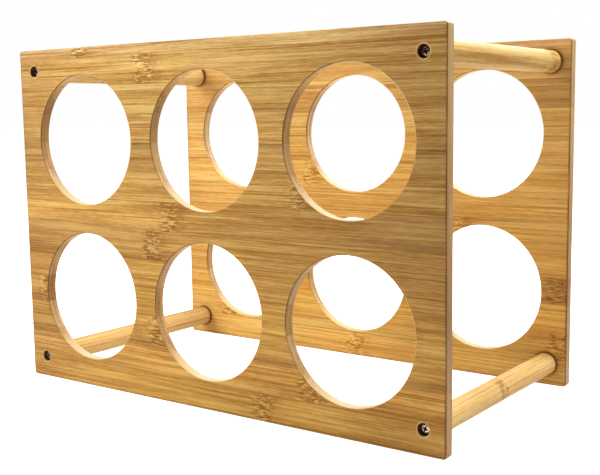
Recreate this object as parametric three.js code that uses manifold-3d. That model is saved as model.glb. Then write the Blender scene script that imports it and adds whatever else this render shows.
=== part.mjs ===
// Six-bottle wine rack: two drilled bamboo boards held apart by four round
// bamboo dowels, with sunk Phillips screws through the boards into the dowels.
// Millimetres, +Z up. X runs along the boards, Y from the front board to the
// back one. The origin is on the ground under the middle of the rack.
import * as THREE from 'three';
import { mergeVertices } from 'three/addons/utils/BufferGeometryUtils.js';
import Module from 'manifold-3d';

const wasm = await Module();
wasm.setup();

// ---- driving dimensions ----
const RACK_WIDTH = 345;
const RACK_HEIGHT = 238;
const RACK_DEPTH = 184;

const BOARD_THICKNESS = 7.5;
const BOARD_CORNER_RADIUS = 2;
const BOARD_EDGE_ROUNDING = 0.6;

const BOTTLE_HOLE_RADIUS = 45;
const BOTTLE_COLUMNS = 3;
const BOTTLE_ROWS = 2;
const BOTTLE_PITCH_X = 108.5;
const BOTTLE_PITCH_Z = 110;
const BOTTLE_GRID_HEIGHT = 119.5; // middle of the hole pattern above the ground

const DOWEL_RADIUS = 7.5;
const DOWEL_CHAMFER = 0.6;
const DOWEL_INSET_X = 14.3; // dowel axis from the board's side edge
const DOWEL_INSET_Z = 15; // dowel axis from the board's top or bottom edge
const JOINT_GAP = 0.3; // clearance between pieces that touch
const OVERCUT = 1; // how far a drill reaches past the board it cuts

const COUNTERBORE_RADIUS = 3.9;
const COUNTERBORE_DEPTH = 4.6;
const SCREW_HOLE_RADIUS = 2.1;
const PILOT_HOLE_DEPTH = 20;
const PILOT_HOLE_RADIUS = 1.9;

const SCREW_HEAD_RADIUS = 3.25;
const SCREW_HEAD_HEIGHT = 2.1;
const SCREW_HEAD_DOME = 0.7; // how far the middle of the head stands above its rim
const SCREW_SHANK_RADIUS = 1.6;
const SCREW_LENGTH = 20; // under the head
const SCREW_POINT_LENGTH = 3.5;
const RECESS_SPAN = 3.8; // across the Phillips cross
const RECESS_ARM_WIDTH = 1;
const RECESS_DEPTH = 1.5;

// ---- facet counts ----
const BOTTLE_HOLE_FACETS = 48;
const CORNER_FACETS = 4;
const EDGE_FACETS = 2;
const DOWEL_FACETS = 32;
const SCREW_FACETS = 20;
const HEAD_DOME_FACETS = 3;
const DRILL_FACETS = 20;

// ---- derived positions ----
const BOARD_CENTRE_Y = (RACK_DEPTH - BOARD_THICKNESS) / 2;
const DOWEL_LENGTH = RACK_DEPTH - 2 * BOARD_THICKNESS - 2 * JOINT_GAP;
const DOWEL_X = RACK_WIDTH / 2 - DOWEL_INSET_X;
const SCREW_SEAT_Y = RACK_DEPTH / 2 - COUNTERBORE_DEPTH; // the counterbore's floor

const CORNERS = [
  { name: 'top_left', x: -DOWEL_X, z: RACK_HEIGHT - DOWEL_INSET_Z },
  { name: 'top_right', x: DOWEL_X, z: RACK_HEIGHT - DOWEL_INSET_Z },
  { name: 'bottom_left', x: -DOWEL_X, z: DOWEL_INSET_Z },
  { name: 'bottom_right', x: DOWEL_X, z: DOWEL_INSET_Z },
];

// How far each driven screw's cross is turned from upright, in degrees,
// clockwise as seen from the screw's own side, in the order of CORNERS.
const SCREW_TURNS = {
  front: [38, -18, -25, 20],
  back: [20, -35, 5, 50],
};

// ---- materials ----
const boardMaterial = new THREE.MeshStandardMaterial({
  color: 0xd3a253, roughness: 0.5, metalness: 0,
});
const dowelMaterial = new THREE.MeshStandardMaterial({
  color: 0xe6c88c, roughness: 0.5, metalness: 0,
});
const screwMaterial = new THREE.MeshStandardMaterial({
  color: 0x2c2019, roughness: 0.35, metalness: 0.9,
});

// ---- solids and booleans ----
function toSolid(geometry) {
  const plain = geometry.clone();
  plain.deleteAttribute('normal');
  plain.deleteAttribute('uv');
  const merged = mergeVertices(plain, 1e-4);
  return new wasm.Manifold(new wasm.Mesh({
    numProp: 3,
    vertProperties: new Float32Array(merged.attributes.position.array),
    triVerts: new Uint32Array(merged.index.array),
  }));
}

function toGeometry(solid) {
  const mesh = solid.getMesh();
  const geometry = new THREE.BufferGeometry();
  geometry.setAttribute('position', new THREE.BufferAttribute(mesh.vertProperties, 3));
  geometry.setIndex(new THREE.BufferAttribute(mesh.triVerts, 1));
  geometry.computeVertexNormals();
  return geometry;
}

// Points of an arc about (x, y), counter-clockwise, both ends included.
function arcPoints(x, y, radius, start, sweep, steps) {
  const points = [];
  for (let i = 0; i <= steps; i++) {
    const angle = start + (sweep * i) / steps;
    points.push(new THREE.Vector2(x + radius * Math.cos(angle), y + radius * Math.sin(angle)));
  }
  return points;
}

// A cylinder whose axis runs along Y, from y = start towards y = end.
function drillAlongY(radius, start, end) {
  const length = end - start;
  const drill = new THREE.CylinderGeometry(radius, radius, length, DRILL_FACETS);
  drill.translate(0, start + length / 2, 0);
  return drill;
}

// ---- boards ----
// The outline, centred on x = 0 with its bottom edge on y = 0.
function boardOutline() {
  const right = RACK_WIDTH / 2 - BOARD_CORNER_RADIUS;
  const top = RACK_HEIGHT - BOARD_CORNER_RADIUS;
  const bottom = BOARD_CORNER_RADIUS;
  const centres = [[right, top], [-right, top], [-right, bottom], [right, bottom]];
  const points = centres.flatMap(([x, y], quarter) => (
    arcPoints(x, y, BOARD_CORNER_RADIUS, (quarter * Math.PI) / 2, Math.PI / 2, CORNER_FACETS)
  ));
  return new THREE.Shape(points);
}

function bottleHoles() {
  const holes = [];
  for (let row = 0; row < BOTTLE_ROWS; row++) {
    for (let column = 0; column < BOTTLE_COLUMNS; column++) {
      const x = (column - (BOTTLE_COLUMNS - 1) / 2) * BOTTLE_PITCH_X;
      const z = BOTTLE_GRID_HEIGHT + (row - (BOTTLE_ROWS - 1) / 2) * BOTTLE_PITCH_Z;
      const points = arcPoints(x, z, BOTTLE_HOLE_RADIUS, 0, 2 * Math.PI, BOTTLE_HOLE_FACETS);
      points.pop();
      holes.push(new THREE.Path(points));
    }
  }
  return holes;
}

// One board, standing in the XZ plane with its outer face towards -Y.
function boardGeometry() {
  const outline = boardOutline();
  outline.holes = bottleHoles();
  const geometry = new THREE.ExtrudeGeometry(outline, {
    depth: BOARD_THICKNESS - 2 * BOARD_EDGE_ROUNDING,
    bevelEnabled: true,
    bevelThickness: BOARD_EDGE_ROUNDING,
    bevelSize: BOARD_EDGE_ROUNDING,
    bevelOffset: -BOARD_EDGE_ROUNDING,
    bevelSegments: EDGE_FACETS,
  });
  geometry.rotateX(Math.PI / 2);
  geometry.translate(0, BOARD_THICKNESS / 2 - BOARD_EDGE_ROUNDING, 0);

  let board = toSolid(geometry);
  const outerFace = -BOARD_THICKNESS / 2;
  for (const corner of CORNERS) {
    const counterboreFloor = outerFace + COUNTERBORE_DEPTH;
    const counterbore = drillAlongY(COUNTERBORE_RADIUS, outerFace - OVERCUT, counterboreFloor);
    const clearance = drillAlongY(SCREW_HOLE_RADIUS, outerFace, -outerFace + OVERCUT);
    for (const drill of [counterbore, clearance]) {
      drill.translate(corner.x, 0, corner.z);
      board = board.subtract(toSolid(drill));
    }
  }
  return toGeometry(board);
}

// ---- turned pieces ----
// The solid that a profile of [radius, y] points sweeps around the Y axis.
function turnedGeometry(profile, facets) {
  return new THREE.LatheGeometry(profile.map(([radius, y]) => new THREE.Vector2(radius, y)), facets);
}

// A chamfered rod along Y with a blind screw hole in each end.
function dowelGeometry() {
  const end = DOWEL_LENGTH / 2;
  const half = [
    [0, end - PILOT_HOLE_DEPTH],
    [PILOT_HOLE_RADIUS, end - PILOT_HOLE_DEPTH],
    [PILOT_HOLE_RADIUS, end],
    [DOWEL_RADIUS - DOWEL_CHAMFER, end],
    [DOWEL_RADIUS, end - DOWEL_CHAMFER],
  ];
  const mirrored = half.map(([radius, y]) => [radius, -y]);
  return turnedGeometry([...mirrored, ...half.reverse()], DOWEL_FACETS);
}

// The head's top as a shallow spherical cap, from its middle to its rim.
function headDome() {
  const domeRadius = (SCREW_HEAD_RADIUS ** 2 + SCREW_HEAD_DOME ** 2) / (2 * SCREW_HEAD_DOME);
  const rimAngle = Math.asin(SCREW_HEAD_RADIUS / domeRadius);
  const points = [];
  for (let i = 0; i <= HEAD_DOME_FACETS; i++) {
    const angle = (rimAngle * i) / HEAD_DOME_FACETS;
    points.push([domeRadius * Math.sin(angle), domeRadius * (1 - Math.cos(angle)) - SCREW_HEAD_HEIGHT]);
  }
  return points;
}

// A Phillips pan-head wood screw, seated at y = 0, its head towards -Y.
function screwGeometry() {
  const profile = [
    ...headDome(),
    [SCREW_HEAD_RADIUS, 0],
    [SCREW_SHANK_RADIUS, 0],
    [SCREW_SHANK_RADIUS, SCREW_LENGTH - SCREW_POINT_LENGTH],
    [0, SCREW_LENGTH],
  ];
  let screw = toSolid(turnedGeometry(profile, SCREW_FACETS));
  const slots = [
    new THREE.BoxGeometry(RECESS_SPAN, 2 * RECESS_DEPTH, RECESS_ARM_WIDTH),
    new THREE.BoxGeometry(RECESS_ARM_WIDTH, 2 * RECESS_DEPTH, RECESS_SPAN),
  ];
  for (const slot of slots) {
    slot.translate(0, -SCREW_HEAD_HEIGHT, 0);
    screw = screw.subtract(toSolid(slot));
  }
  return toGeometry(screw);
}

// ---- the rack ----
function addPiece(parent, name, geometry, material, x, y, z) {
  const piece = new THREE.Mesh(geometry, material);
  piece.name = name;
  piece.position.set(x, y, z);
  parent.add(piece);
  return piece;
}

const rack = new THREE.Group();
const board = boardGeometry();
const dowel = dowelGeometry();
const screw = screwGeometry();

addPiece(rack, 'front_panel', board, boardMaterial, 0, -BOARD_CENTRE_Y, 0);
const backPanel = addPiece(rack, 'back_panel', board, boardMaterial, 0, BOARD_CENTRE_Y, 0);
backPanel.rotation.z = Math.PI;

CORNERS.forEach((corner, index) => {
  addPiece(rack, `dowel_${corner.name}`, dowel, dowelMaterial, corner.x, 0, corner.z);

  for (const [side, direction] of [['front', -1], ['back', 1]]) {
    const seat = new THREE.Group();
    seat.position.set(corner.x, direction * SCREW_SEAT_Y, corner.z);
    seat.rotation.z = side === 'back' ? Math.PI : 0;
    rack.add(seat);
    const name = `${side}_screw_${corner.name}`;
    const driven = addPiece(seat, name, screw, screwMaterial, 0, -JOINT_GAP, 0);
    driven.rotation.y = THREE.MathUtils.degToRad(SCREW_TURNS[side][index]);
  }
});

export default rack;
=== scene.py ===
"""Looks for the six-bottle bamboo wine rack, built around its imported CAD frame.

Metres, +Z up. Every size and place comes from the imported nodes' boxes and from
the named values below. Shader lengths are in millimetres of object space.
"""
import math
from types import SimpleNamespace

import bmesh
import bpy
from mathutils import Matrix, Vector


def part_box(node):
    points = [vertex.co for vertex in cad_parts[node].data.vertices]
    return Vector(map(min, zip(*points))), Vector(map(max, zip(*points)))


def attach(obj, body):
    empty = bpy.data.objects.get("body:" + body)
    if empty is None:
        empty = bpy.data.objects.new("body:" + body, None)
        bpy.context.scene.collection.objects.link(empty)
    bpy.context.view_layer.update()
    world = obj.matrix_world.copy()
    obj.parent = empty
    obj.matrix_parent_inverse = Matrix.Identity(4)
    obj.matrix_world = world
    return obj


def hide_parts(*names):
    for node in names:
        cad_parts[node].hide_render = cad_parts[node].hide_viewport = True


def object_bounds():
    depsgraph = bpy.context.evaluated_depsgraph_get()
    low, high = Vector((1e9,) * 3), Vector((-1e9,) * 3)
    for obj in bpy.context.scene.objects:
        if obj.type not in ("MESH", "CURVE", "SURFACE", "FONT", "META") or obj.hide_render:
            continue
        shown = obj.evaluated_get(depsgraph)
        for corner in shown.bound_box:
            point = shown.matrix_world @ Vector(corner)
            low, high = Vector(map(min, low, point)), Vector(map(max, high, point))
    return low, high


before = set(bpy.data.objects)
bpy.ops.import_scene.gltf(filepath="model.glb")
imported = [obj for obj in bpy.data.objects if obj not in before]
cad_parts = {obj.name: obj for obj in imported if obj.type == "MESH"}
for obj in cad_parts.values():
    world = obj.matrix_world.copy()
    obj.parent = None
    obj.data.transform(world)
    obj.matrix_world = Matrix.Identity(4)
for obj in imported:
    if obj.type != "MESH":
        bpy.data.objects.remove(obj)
cad_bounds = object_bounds()

MM = 0.001

# ---- boards: shapes that the node boxes don't give, in metres ----
EDGE_ROUNDING = 0.6 * MM
CORNER_RADIUS = 2.0 * MM
BOTTLE_HOLE_RADIUS = 45.0 * MM
BOTTLE_PITCH_X = 108.5 * MM
BOTTLE_PITCH_Z = 110.0 * MM
BOTTLE_GRID_HEIGHT = 119.5 * MM
COUNTERBORE_RADIUS = 3.9 * MM
COUNTERBORE_DEPTH = 4.6 * MM
COUNTERBORE_CHAMFER = 0.4 * MM
SCREW_HOLE_RADIUS = 2.1 * MM

# ---- dowels, in metres ----
DOWEL_END_ROUNDING = 1.1 * MM
PILOT_RADIUS = 1.9 * MM
PILOT_DEPTH = 20.0 * MM
PILOT_CHAMFER = 0.3 * MM
PILOT_TIP_LENGTH = 1.2 * MM

# ---- screws, in metres ----
SCREW_HEAD_RADIUS = 3.25 * MM
SCREW_HEAD_HEIGHT = 2.1 * MM
SCREW_HEAD_DOME = 0.7 * MM
HEAD_EDGE_ROUNDING = 0.35 * MM
HEAD_SEAT_CHAMFER = 0.15 * MM
SCREW_CORE_RADIUS = 1.15 * MM
SCREW_SHANK_LENGTH = 20.0 * MM
SCREW_POINT_LENGTH = 3.5 * MM
POINT_BLUNTNESS = 0.06
THREAD_RADIUS = 1.6 * MM
THREAD_PITCH = 1.5 * MM
THREAD_START = 3.0 * MM
THREAD_RIDGE_SHARE = 0.28
THREAD_RINGS = 84
LAST_THREAD_RING = 0.985
RECESS_SPAN = 3.8 * MM
RECESS_ARM_WIDTH = 1.0 * MM
RECESS_DEPTH = 1.6 * MM
RECESS_FACE_MARGIN = 0.05 * MM
# The recess's shares of its span and arm width, and how deep below the head's top they are.
RECESS_LEVELS = (
    (1.06, 1.05, -0.4 * MM),
    (1.00, 1.00, 0.1 * MM),
    (0.55, 0.62, 0.8 * RECESS_DEPTH),
    (0.20, 0.40, RECESS_DEPTH),
)

# ---- how many straight stretches a round shape is made of ----
EDGE_STEPS = 5
CORNER_STEPS = 10
BOTTLE_HOLE_SIDES = 144
SCREW_HOLE_SIDES = 48
DOWEL_SIDES = 96
DOWEL_END_STEPS = 6
SCREW_SIDES = 48
HEAD_DOME_STEPS = 8
HEAD_EDGE_STEPS = 4
RECESS_ARM_STEPS = 4

# ---- light: name, place and size in metres, watts, and whether gloss mirrors it ----
SOFTBOXES = (
    ("overhead_softbox", (0.70, 0.42, 2.15), (1.2, 1.2), 54.0, True),
    ("back_softbox", (-0.06, 0.87, 0.81), (0.6, 0.6), 7.6, True),
    ("left_softbox", (-0.53, -0.57, 0.44), (0.5, 0.5), 5.6, False),
    ("right_softbox", (0.65, 0.15, 0.60), (0.4, 0.4), 1.15, True),
)
WORLD_DIM = 0.02
WORLD_BRIGHT = 0.20
WORLD_BRIGHT_SIDE = (0.75, 0.62, 0.22)
WORLD_EASING = 0.75

# ---- floor: sizes in metres, and how far from its middle the gleam reaches ----
# The lift is the floor's own glow, for the camera and, as a gleam near the rack, for gloss.
FLOOR_HALF_SIZE = 12.0
FLOOR_GAP = 0.05 * MM
FLOOR_CLOUD_FINENESS = (3.0, 3.0, 3.0)
FLOOR_ROUGHNESS = 0.75
FLOOR_GRAIN_DEPTH = 0.1 * MM
FLOOR_LIFT = 0.97
GLEAM_REACHES = 0.25
GLEAM_FADES_AT = 0.50

# ---- camera: place in metres, angles in degrees, lens in millimetres ----
CAMERA_PLACE = (0.4203, -0.5671, 0.1917)
CAMERA_YAW = 35.98
CAMERA_PITCH = -7.16
CAMERA_ROLL = -0.83
CAMERA_LENS_MM = 59.9
CAMERA_SENSOR_MM = 36.0

# ---- bamboo's knuckles and strips, in millimetres ----
# A span runs from where something starts to show to where it shows in full.
STRIP_HEIGHT_MM = 19.35
LOWEST_SEAM_MM = -1.2
SEAM_SPAN_MM = (0.42, 0.10)
SEAM_DEPTH = 0.8
STRIP_SHUFFLE_MM = (900.0, 70.0, 70.0)
INTERNODE_MM = 295.0
KNUCKLE_LIMIT_MM = 200.0
KNUCKLE_RAGGEDNESS_MM = 9.0
KNUCKLE_SPAN_MM = (9.5, 5.5)
KNUCKLE_HALO_MM = (26.0, 5.0)
KNUCKLE_HALO_LIVELINESS = (0.03, 0.38)
KNUCKLE_CORE_LIVELINESS = 0.65
KNUCKLE_CRINKLE_MM = 2.5
SMUDGE_LEFT_SPAN_MM = (-6.0, 4.0)
SMUDGE_RIGHT_SPAN_MM = (20.0, 6.0)
SMUDGE_STRENGTH = 0.28
DOWEL_KNUCKLE_RAGGEDNESS_MM = 14.0
DOWEL_KNUCKLE_SPAN_MM = (7.0, 3.0)
DOWEL_SHUFFLE_MM = (37.0, 11.0, 23.0)
DOWEL_KNUCKLE_STRENGTH = 0.26
DOWEL_LIVELINESS = 0.02
DOWEL_FIGURE_CONTRAST = 0.70
DOWEL_FIGURE_BASE = 0.08
DARK_SIDE_FACING = (0.80, 0.99)
DARK_SIDE_STRENGTH = 0.32
# The dowel's end shade is painted shade just before the dowel meets a board.
DOWEL_END_SHADE_MM = (2.1, 0.7)
DOWEL_END_SHADE_STRENGTH = 0.80
DOWEL_CUT_END_FACING = (0.30, 0.90)
DOWEL_CUT_END_STRENGTH = 0.7

# Layers of fibre figure: fineness per millimetre along and across the grain, noise detail and
# roughness, strength, and how much livelier the layer gets at a knuckle. Finest comes last.
FIBRE_LAYERS = (
    (0.006, 0.10, 1.0, 0.50, 1.00, 0.0),
    (0.010, 0.34, 2.0, 0.50, 1.00, 0.0),
    (0.014, 0.85, 2.0, 0.60, 1.80, 0.7),
    (0.130, 1.90, 3.0, 0.65, 1.25, 0.7),
)
MEAN_FIGURE = 0.44
DARK_LINE_FINENESS = (0.005, 0.80)
DARK_LINE_LEVELS = (0.60, 0.70)
DARK_LINE_STRENGTH = 0.45

# Curled fibres at a knuckle: their fineness and bends, along and across the grain, the noise
# levels between which the dark and the pale ones show, and how finely and how strongly they
# show on the boards and on the dowels.
CRINKLE_FINENESS = (0.34, 0.34, 0.34)
CURL_FINENESS = (0.15, 0.92)
CURL_BEND_FINENESS = (0.30, 0.25)
CURL_BEND_MM = 1.5
DARK_CURL_LEVELS = (0.49, 0.60)
PALE_CURL_LEVELS = (0.47, 0.36)
BOARD_CURLS = {"fineness": 1.0, "dark": 0.90, "pale": 0.55}
DOWEL_CURLS = {"fineness": 1.7, "dark": 0.62, "pale": 0.45}

# Noise: fineness per millimetre along X, Y and Z. Patches go from one share to another
# between two levels of it, by default from 0 to 1.
RAGGED_FINENESS = (0.02, 0.3, 0.22)
DRIFT_FINENESS = (0.009, 0.0, 0.0)
LAYER_FINENESS = (0.1, 0.55, 0.02)
PORE_FINENESS = (0.2, 2.2, 2.2)
PORE_LEVELS = (0.36, 0.66)
KNUCKLE_PATCHES = {
    "fineness": (0.14, 0.1, 0.12), "levels": (0.30, 0.60), "shares": (0.50, 1.0), "detail": 1.0,
}
GLUE_PATCHES = {"fineness": (0.02, 0.1, 0.05), "levels": (0.42, 0.60), "shares": (0.10, 0.55)}
WORN_PATCHES = {"fineness": (0.5, 0.5, 0.03), "levels": (0.40, 0.56), "shares": (0.25, 0.85)}
DOWEL_RAGGED_FINENESS = (0.16, 0.03, 0.16)
DOWEL_KNUCKLE_PATCHES = {
    "fineness": (0.12, 0.01, 0.12), "levels": (0.34, 0.54), "shares": (0.30, 1.0), "detail": 1.0,
}
DOWEL_PORES = {"fineness": (2.4, 0.2, 2.4), "levels": (0.40, 0.62)}
PATINA = {"fineness": (0.9, 0.9, 0.9), "levels": (0.35, 0.70), "detail": 4.0, "roughness": 0.6}
SCUFF_FINENESS = (6.0, 6.0, 1.2)
SCUFF_LEVELS = (0.60, 0.75)
SCUFF_STRENGTH = 0.4

# ---- how boards change over their length and height ----
BOARD_MIDDLE_TONE = 1.15
BOARD_LEAN = -0.03
TONE_REACH_MM = 165.0
TONE_DRIFT = 0.25
SILL_SPAN_MM = (50.0, 12.0)
# Crest and rise are painted sheen: green and blue lifted towards the top.
CREST_SHEEN_SPAN_MM = (229.0, 235.0)
CREST_SHEEN_BLUE = 1.4
RISE_SHEEN_SPAN_MM = (20.0, 230.0)
RISE_SHEEN_GREEN = (0.98, 1.09)
RISE_SHEEN_BLUE = (1.00, 1.60)
WARMTH_VARIETY = 0.3
# Shares of a strip's height over which its foot's or its crown's tone gives way to its own.
FOOT_SPAN = (0.10, 0.34)
CROWN_SPAN = (0.92, 0.64)
EDGE_WAVINESS = 0.3

# ---- cut faces of the boards ----
# Facings run from -1, straight against an axis, through 0, sideways on, to 1, straight along
# it. Depths are distances in from the board's ends.
CUT_END_FACING = (0.35, 0.95)
CUT_END_STRENGTH = 0.8
# Cut sides: paler side grain on faces that look up, partly its own colour, partly painted light from
# above.
CUT_SIDE_FACING = (0.52, 0.97)
CUT_SIDE_AND_TOPLIGHT_STRENGTH = 0.9
CUT_SIDE_LEVEL_FACING = (0.90, 1.0)
CUT_SIDE_BELOW_TOP_MM = (3.0, 6.0)
CUT_SIDE_SHARE_ON_TOP = 0.3
KNUCKLE_ON_CUT_ENDS = 0.2
LAYERS_IN_CUT_ENDS = 1.1
# Arris facings: darker rounded edges, partly finish and partly painted shade, and a painted highlight
# on those facing -X.
ARRIS_OUTER_FACING = (0.995, 0.93)
ARRIS_INNER_FACING = (0.08, 0.30)
ARRIS_UPWARD_FACING = (0.30, -0.15)
ARRIS_SHARE_UPWARD = 0.15
ARRIS_HIGHLIGHT_TO_DARK_FACING = (-0.25, 0.15)
ARRIS_STRENGTH = 0.85
END_GREEN_POWER = 1.35
END_BLUE_POWER = 2.1
# Outer end light: painted light on the board's outer ends, paler and lighter higher up.
END_TOPLIGHT_SPAN_MM = (110.0, 215.0)
END_TOPLIGHT_STRENGTH = 0.60
OUTER_END_DEPTH_MM = (1.5, 1.0)
END_LINE_DEPTH_MM = (1.5, 0.3)
OUTER_END_LIGHT_SPAN_MM = (15.0, 215.0)
OUTER_END_LIGHT_TONES = (0.86, 1.06)

# ---- marks round the screw holes and painted shadow round the dowels, as distances from the screw's axis ----
# The inner face's depth is how far into the board its marks reach.
PALE_RING_SPAN_MM = (5.0, 4.3)
PALE_RING_STRENGTH = 0.7
PALE_RING_FACING = (0.5, 0.9)
INNER_FACE_DEPTH_MM = (1.0, 0.2)
DOWEL_SHADOW_SPAN_MM = (11.0, 7.6)
DOWEL_SHADOW_STRENGTH = 0.55
CONTACT_SHADE_SPAN_MM = (8.8, 8.1)
CONTACT_SHADE_STRENGTH = 0.68

# ---- bamboo strips, bottom to top ----
# tones: each strip's tone. leans: how much paler it gets towards the rack's right end.
# feet and crowns: the tones of its lower and upper edges. ends: the tone of its cut ends in
# the bottle holes. knuckles_mm: where its knuckle sits, from the rack's middle.
FRONT_STRIPS = {
    "tones": [1.09, 1.17, 1.03, 1.07, 0.99, 0.92, 1.04, 1.01, 0.92, 1.05, 1.05, 1.11, 1.30],
    "leans": [0.02, 0.08, 0.10, 0.09, -0.02, 0.04, -0.20, 0.00, 0.05, 0.04, 0.00, -0.03, 0.02],
    "feet": [1.00, 0.88, 0.78, 1.00, 0.98, 0.86, 0.80, 1.00, 1.00, 0.96, 0.95, 1.00, 0.92],
    "crowns": [1.00, 1.00, 1.00, 1.00, 1.00, 1.00, 0.90, 1.00, 0.80, 1.00, 1.00, 1.00, 1.00],
    "ends": [1.10, 1.10, 1.52, 1.05, 1.34, 1.30, 1.25, 1.50, 1.25, 0.93, 0.76, 0.60, 0.80],
    "knuckles_mm": [44, 79, -44, -155, 108, -47, -30, 77, -108, 0, 108, -50, -110],
}
BACK_STRIPS = {
    "tones": [1.14, 1.06, 1.11, 0.92, 1.04, 1.08, 1.02, 1.14, 1.13, 1.05, 0.92, 1.01, 1.10],
    "leans": [0.03, 0.00, 0.03, -0.10, 0.03, -0.05, 0.05, -0.04, 0.02, 0.00, -0.14, -0.06, 0.00],
    "feet": [1.00, 0.92, 1.00, 0.88, 1.00, 1.00, 0.94, 1.00, 0.92, 1.00, 0.90, 1.00, 1.00],
    "crowns": [1.00, 1.00, 0.93, 1.00, 1.00, 0.90, 1.00, 1.00, 0.93, 1.00, 1.00, 1.00, 1.00],
    "ends": [1.10, 1.20, 1.52, 1.22, 1.05, 1.40, 1.25, 1.38, 1.75, 1.62, 1.18, 0.75, 0.80],
    "knuckles_mm": [0, -128, 108, 165, -108, 93, -80, -40, -108, 108, 0, -80, 20],
}

# ---- colours; dimming is how much darker a board gets towards both ends, and sill how much ----
# ---- paler and less yellow it is along its foot                                             ----
FRONT_PALETTE = {
    "dimming": 0.21,
    "sill": 1.0,
    "light": (0.65, 0.380, 0.088),
    "body": (0.48, 0.240, 0.046),
    "dark": (0.31, 0.129, 0.016),
    "curl_dark_and_shade": (0.24, 0.086, 0.003, 1.0),
    "curl_pale": (0.80, 0.50, 0.150, 1.0),
    "seam": (0.24, 0.09, 0.010, 1.0),
    "arris": (0.16, 0.060, 0.010, 1.0),
    "end_light": (0.43, 0.245, 0.092, 1.0),
    "end_dark": (0.25, 0.128, 0.042, 1.0),
    # paler colour of the painted light on the outer ends' upper part
    "end_toplight": (0.58, 0.38, 0.170, 1.0),
    "side": (0.74, 0.555, 0.285, 1.0),
    "side_flat": (0.76, 0.64, 0.40, 1.0),
    "rim": (0.78, 0.52, 0.20, 1.0),
    # painted shade where a dowel meets a board
    "contact_shade": (0.20, 0.060, 0.008, 1.0),
    # Counterbore walls: scorch-darkened wood, made darker still as painted shade of the deep bore.
    "scorch_and_shade": (0.050, 0.010, 0.002, 1.0),
}
# The back board's paler colours are partly its own lighter bamboo and partly painted light, standing in
# for the stronger light on its inner face.
BACK_PALETTE = dict(
    FRONT_PALETTE,
    dimming=0.16,
    sill=1.38,
    light=(0.83, 0.500, 0.119),
    body=(0.69, 0.355, 0.070),
    dark=(0.52, 0.228, 0.032),
    curl_dark_and_shade=(0.34, 0.110, 0.007, 1.0),
    side=(0.71, 0.490, 0.225, 1.0),
    side_flat=(0.70, 0.505, 0.235, 1.0),
)
DOWEL_PALETTE = dict(
    FRONT_PALETTE,
    light=(0.79, 0.57, 0.245),
    body=(0.69, 0.44, 0.155),
    dark=(0.43, 0.210, 0.045),
    curl_dark_and_shade=(0.30, 0.100, 0.007, 1.0),
)
RIM_COVER = 0.7
BORE_SCORCH_AND_SHADE_COVER = 0.9
PLATING_COLOURS = ((0.56, 0.36, 0.27, 1.0), (0.80, 0.56, 0.44, 1.0))
# The recess colours are painted shade: near-black for the faces inside each screw's cross recess.
RECESS_SHADE_COLOURS = ((0.040, 0.018, 0.014, 1.0), (0.080, 0.040, 0.030, 1.0))
FLOOR_COLOURS = ((0.69, 0.69, 0.69, 1.0), (0.72, 0.72, 0.72, 1.0))
WHITE = (1.0, 1.0, 1.0, 1.0)

# ---- gloss and grain ----
LACQUER = {"Specular_IOR_Level": 0.20, "Coat_Weight": 0.03, "Coat_Roughness": 0.28}
LACQUER_ROUGHNESS = 0.36
SATIN = {"Specular_IOR_Level": 0.10, "Coat_Weight": 0.0}
SATIN_ROUGHNESS = 0.42
FIBRE_ROUGHNESS = 0.22
GRAIN_DEPTH = 0.06 * MM
PLATING_ROUGHNESS = 0.16
SCUFF_ROUGHNESS = 0.30
SCUFF_DEPTH = 0.015 * MM

# Each board: piece, node, which way its outer face looks along Y, strips, palette and seed.
BOARDS = (
    ("bamboo_front_board", "front_panel", -1, FRONT_STRIPS, FRONT_PALETTE, 3.0),
    ("bamboo_back_board", "back_panel", 1, BACK_STRIPS, BACK_PALETTE, 41.0),
)

# Each dowel: where its knuckle lies along the rack, in millimetres from the middle, and where
# its darkest fibres lie round it, in degrees up from the rack's right side.
DOWELS = {
    "dowel_top_left": (-25, 200),
    "dowel_top_right": (74, -14),
    "dowel_bottom_left": (150, 100),
    "dowel_bottom_right": (1, -32),
}

# How far each screw's cross is turned, clockwise as seen from outside, in degrees.
SCREW_TURNS = {
    "front_screw_top_left": 38,
    "front_screw_top_right": -18,
    "front_screw_bottom_left": -25,
    "front_screw_bottom_right": 20,
    "back_screw_top_left": 20,
    "back_screw_top_right": -35,
    "back_screw_bottom_left": 5,
    "back_screw_bottom_right": 50,
}


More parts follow.
